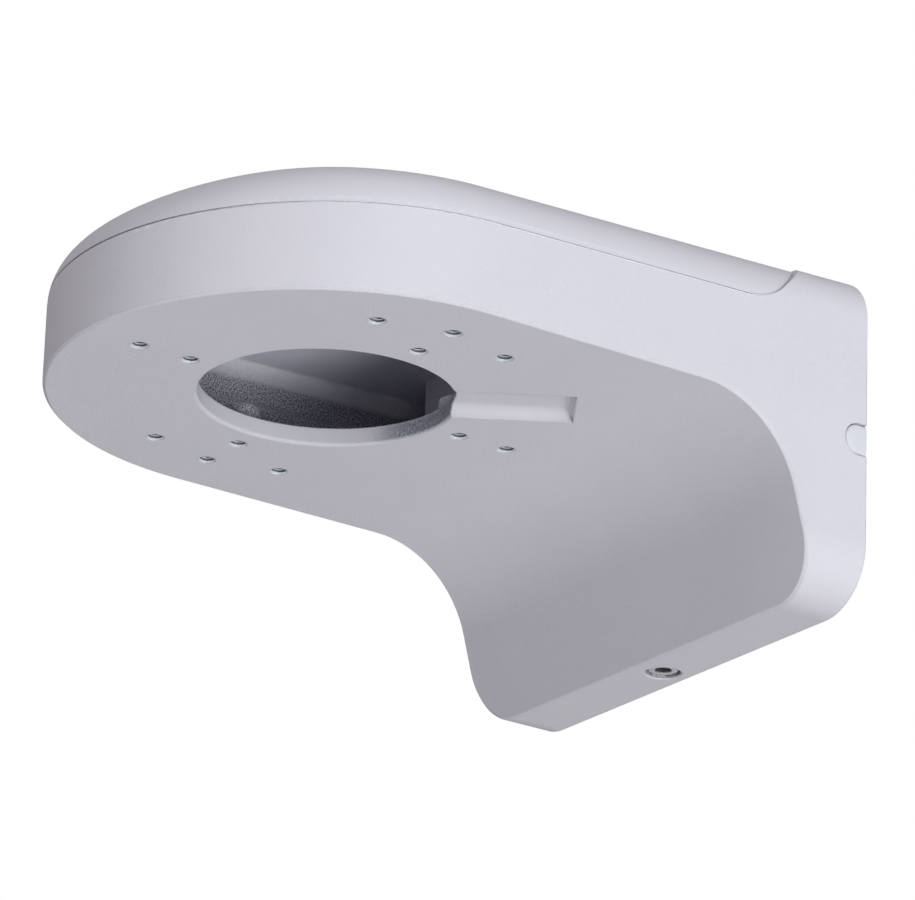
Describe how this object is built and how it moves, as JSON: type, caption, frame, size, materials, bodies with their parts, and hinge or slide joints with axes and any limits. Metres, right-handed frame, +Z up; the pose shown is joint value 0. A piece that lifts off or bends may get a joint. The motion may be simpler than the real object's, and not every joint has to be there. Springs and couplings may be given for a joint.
{
  "type": "camera wall bracket",
  "caption": "Hollow cast wall bracket for a dome camera: flat round-nosed arm with a cable hole and tapped holes below, separate top cover, and a wall box that hangs on a pressed steel plate.",
  "frame": {"origin": "centre of the wall face, in the plane that lies against the wall", "axes": "+Z up, +Y into the wall with the arm reaching towards -Y, +X towards the side with the cable entry"},
  "size_m": [0.122, 0.1576, 0.076],
  "materials": {
    "painted_casting": "die-cast aluminium, powder-coated white with a fine grain, coarser inside",
    "painted_cover": "die-cast aluminium, powder-coated white, smooth",
    "seal_rubber": "matt black rubber cord",
    "stainless_steel": "plain stainless steel",
    "plated_steel": "zinc-plated pressed steel sheet",
    "foam_rubber": "closed-cell foam",
    "grey_white_plastic": "soft light grey plastic, smooth"
  },
  "bodies": {
    "root": {"bracket_body": "painted_casting", "top_cover": "painted_cover", "cover_seal": "seal_rubber", "cover_screws": "stainless_steel", "wall_plate": "plated_steel", "wall_gasket": "foam_rubber", "lock_screw": "stainless_steel", "side_entry_plug": "grey_white_plastic"}
  },
  "joints": []
}
